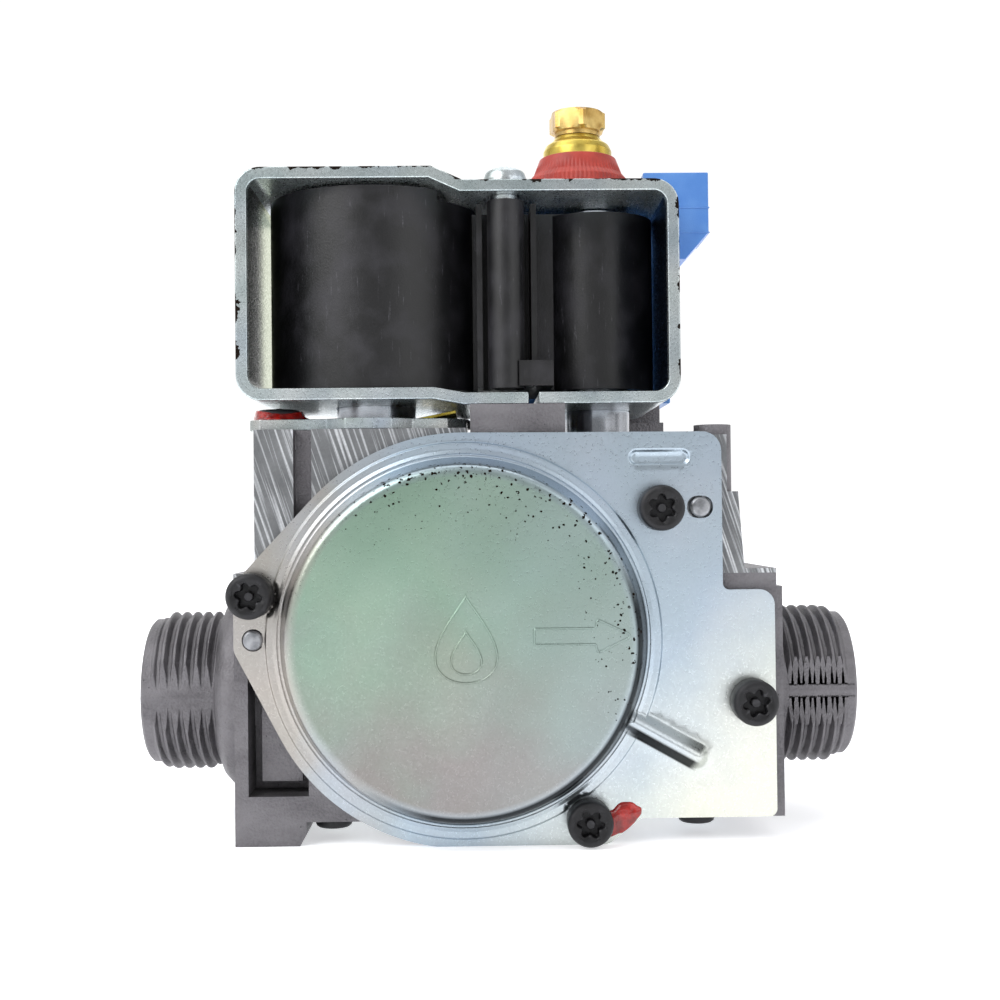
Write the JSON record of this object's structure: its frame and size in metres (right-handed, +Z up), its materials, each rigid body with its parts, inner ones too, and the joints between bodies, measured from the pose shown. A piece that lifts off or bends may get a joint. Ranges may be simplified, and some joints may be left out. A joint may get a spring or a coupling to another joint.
{
  "type": "gas valve",
  "caption": "Boiler gas valve: threaded pipe stubs on a cast body, a domed diaphragm cover, solenoid coils in a bent steel bracket and a modulating regulator with a brass adjuster.",
  "frame": {"origin": "centre of the inlet pipe's end face, on the pipe axis", "axes": "+X along the gas flow from inlet to outlet, -Y out of the diaphragm cover, +Z up towards the coils"},
  "size_m": [0.117, 0.081, 0.1318],
  "materials": {
    "cast_aluminium": "die cast, matt grey skin",
    "zinc_plated_steel": "zinc plated and clear passivated",
    "black_steel": "black oxide",
    "stainless_steel": "turned",
    "spring_steel": "yellow passivated spring wire and strip",
    "black_plastic": "glass-filled nylon, moulded",
    "blue_plastic": "moulded",
    "red_plastic": "moulded",
    "white_plastic": "moulded",
    "brass": "turned",
    "copper": "enamelled winding wire",
    "rubber": "moulded nitrile rubber"
  },
  "bodies": {
    "valve": {"valve_body": "cast_aluminium", "inlet_strainer": "stainless_steel", "diaphragm_cover": "zinc_plated_steel", "servo_diaphragm": "rubber", "stem_guide": "black_plastic", "main_valve_spring": "spring_steel", "rear_cover_gasket": "rubber", "rear_cover": "zinc_plated_steel", "rear_cover_screws": "zinc_plated_steel", "cover_screws": "black_steel", "base_plate": "zinc_plated_steel", "base_screws": "black_steel", "coil_bracket": "zinc_plated_steel", "coil_block": "black_plastic", "ev1_winding": "copper", "ev2_winding": "copper", "coil_terminals": "brass", "coil_fixing_screw": "zinc_plated_steel", "coil_spring_clip": "spring_steel", "ev1_plate": "zinc_plated_steel", "ev1_plate_screws": "black_steel", "ev1_plate_seal": "rubber", "ev1_core_tube": "stainless_steel", "ev1_fixed_core": "stainless_steel", "ev1_spring": "spring_steel", "ev2_core_tube": "stainless_steel", "ev2_fixed_core": "stainless_steel", "ev2_spring": "spring_steel", "regulator_flange": "cast_aluminium", "regulator_screws": "zinc_plated_steel", "regulator_diaphragm": "rubber", "modulator_housing": "blue_plastic", "modulator_winding": "copper", "modulator_terminals": "brass", "modulator_core_tube": "stainless_steel", "modulator_spring": "spring_steel", "modulator_pole_plate": "zinc_plated_steel", "adjuster_seal_ring": "red_plastic", "adjuster_body": "brass"},
    "ev1_armature": {"ev1_plunger": "stainless_steel", "ev1_valve_disc": "zinc_plated_steel", "ev1_seat_seal": "rubber"},
    "ev2_armature": {"ev2_plunger": "stainless_steel", "ev2_seat_seal": "rubber"},
    "servo_valve": {"diaphragm_front_plate": "zinc_plated_steel", "diaphragm_rear_plate": "zinc_plated_steel", "main_valve_stem": "stainless_steel", "main_valve_seal": "rubber", "main_valve_disc": "zinc_plated_steel", "main_valve_clip": "zinc_plated_steel"},
    "modulator_armature": {"modulator_plunger": "stainless_steel", "regulator_disc": "stainless_steel"},
    "max_adjuster": {"max_adjust_nut": "brass"},
    "min_adjuster": {"min_adjust_screw": "white_plastic"},
    "inlet_test_plug": {"inlet_test_screw": "zinc_plated_steel"},
    "outlet_test_plug": {"outlet_test_screw": "zinc_plated_steel"}
  },
  "joints": [
    {"name": "ev1_lift", "type": "slide", "parent": "valve", "child": "ev1_armature", "axis": [0, 0, 1], "range_m": [0, 0.0025], "stiffness_N_per_m": 400, "springref_m": -0.006, "deforming": ["ev1_spring"]},
    {"name": "ev2_lift", "type": "slide", "parent": "valve", "child": "ev2_armature", "axis": [0, 0, 1], "range_m": [0, 0.0013], "stiffness_N_per_m": 400, "springref_m": -0.005, "deforming": ["ev2_spring"]},
    {"name": "servo_stroke", "type": "slide", "parent": "valve", "child": "servo_valve", "axis": [0, 1, 0], "range_m": [0, 0.004], "stiffness_N_per_m": 300, "springref_m": -0.006, "deforming": ["main_valve_spring", "servo_diaphragm"]},
    {"name": "modulator_stroke", "type": "slide", "parent": "valve", "child": "modulator_armature", "axis": [0, 0, -1], "range_m": [0, 0.0012], "stiffness_N_per_m": 300, "springref_m": -0.005, "deforming": ["modulator_spring", "regulator_diaphragm"]},
    {"name": "max_adjust_turn", "type": "hinge", "parent": "valve", "child": "max_adjuster", "pos_m": [0.0756, 0.036, 0.104], "axis": [0, 0, 1], "range_deg": [-360, 360]},
    {"name": "min_adjust_turn", "type": "hinge", "parent": "max_adjuster", "child": "min_adjuster", "pos_m": [0.0756, 0.036, 0.104], "axis": [0, 0, 1], "range_deg": [-360, 360]},
    {"name": "inlet_test_turn", "type": "hinge", "parent": "valve", "child": "inlet_test_plug", "pos_m": [0.026, 0.024, 0.014], "axis": [0, 1, 0], "range_deg": [0, 720]},
    {"name": "outlet_test_turn", "type": "hinge", "parent": "valve", "child": "outlet_test_plug", "pos_m": [0.094, 0.024, 0.004], "axis": [0, 1, 0], "range_deg": [0, 720]}
  ]
}
